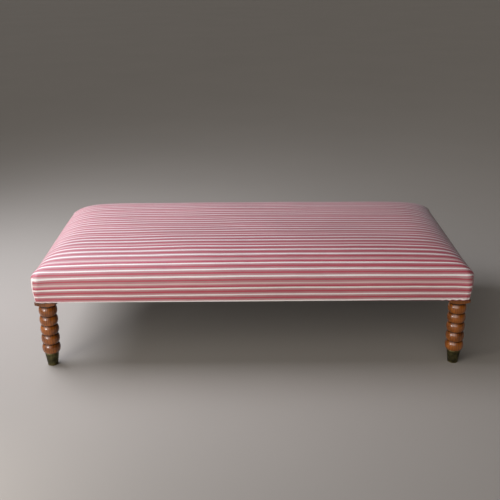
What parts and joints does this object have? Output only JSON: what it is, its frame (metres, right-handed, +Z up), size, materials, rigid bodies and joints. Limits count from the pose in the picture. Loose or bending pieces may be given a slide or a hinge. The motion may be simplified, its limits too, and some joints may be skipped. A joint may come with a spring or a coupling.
{
  "type": "upholstered footstool",
  "caption": "Long low footstool with a domed pad in striped ticking, on bobbin-turned wooden legs with tapered brass toe caps.",
  "frame": {"origin": "on the floor under the middle of the footstool", "axes": "+X along the length, to the right as seen from the front; -Y to the front; +Z up"},
  "size_m": [1.2, 0.626, 0.336],
  "materials": {
    "striped_ticking": "woven cotton ticking, cream ground with red stripes",
    "turned_wood": "stained and polished hardwood",
    "frame_wood": "bare sawn and planed beech",
    "brass": "aged, dark",
    "screw_steel": "plain steel",
    "jute_webbing": "woven jute strip",
    "hessian": "open plain weave",
    "hair_stuffing": "curled hair, stitched into a pad",
    "calico": "unbleached cotton",
    "wadding": "soft cotton felt",
    "black_bottoming": "black cotton"
  },
  "bodies": {
    "root": {"bottoming": "black_bottoming", "brace_back_left": "frame_wood", "brace_back_right": "frame_wood", "brace_front_left": "frame_wood", "brace_front_right": "frame_wood", "brace_screw_back_left_end": "screw_steel", "brace_screw_back_left_side": "screw_steel", "brace_screw_back_right_end": "screw_steel", "brace_screw_back_right_side": "screw_steel", "brace_screw_front_left_end": "screw_steel", "brace_screw_front_left_side": "screw_steel", "brace_screw_front_right_end": "screw_steel", "brace_screw_front_right_side": "screw_steel", "calico_cover": "calico", "cross_rail_left": "frame_wood", "cross_rail_right": "frame_wood", "hair_pad": "hair_stuffing", "hessian": "hessian", "leg_back_left": "turned_wood", "leg_back_right": "turned_wood", "leg_front_left": "turned_wood", "leg_front_right": "turned_wood", "rail_back": "frame_wood", "rail_front": "frame_wood", "rail_left": "frame_wood", "rail_right": "frame_wood", "toe_cap_back_left": "brass", "toe_cap_back_right": "brass", "toe_cap_front_left": "brass", "toe_cap_front_right": "brass", "toe_pin_back_left": "brass", "toe_pin_back_right": "brass", "toe_pin_front_left": "brass", "toe_pin_front_right": "brass", "top_cover": "striped_ticking", "wadding": "wadding", "web_cross_1": "jute_webbing", "web_cross_2": "jute_webbing", "web_cross_3": "jute_webbing", "web_cross_4": "jute_webbing", "web_cross_5": "jute_webbing", "web_cross_6": "jute_webbing", "web_cross_7": "jute_webbing", "web_cross_8": "jute_webbing", "web_cross_9": "jute_webbing", "web_long_1": "jute_webbing", "web_long_2": "jute_webbing", "web_long_3": "jute_webbing", "web_long_4": "jute_webbing"}
  },
  "joints": []
}
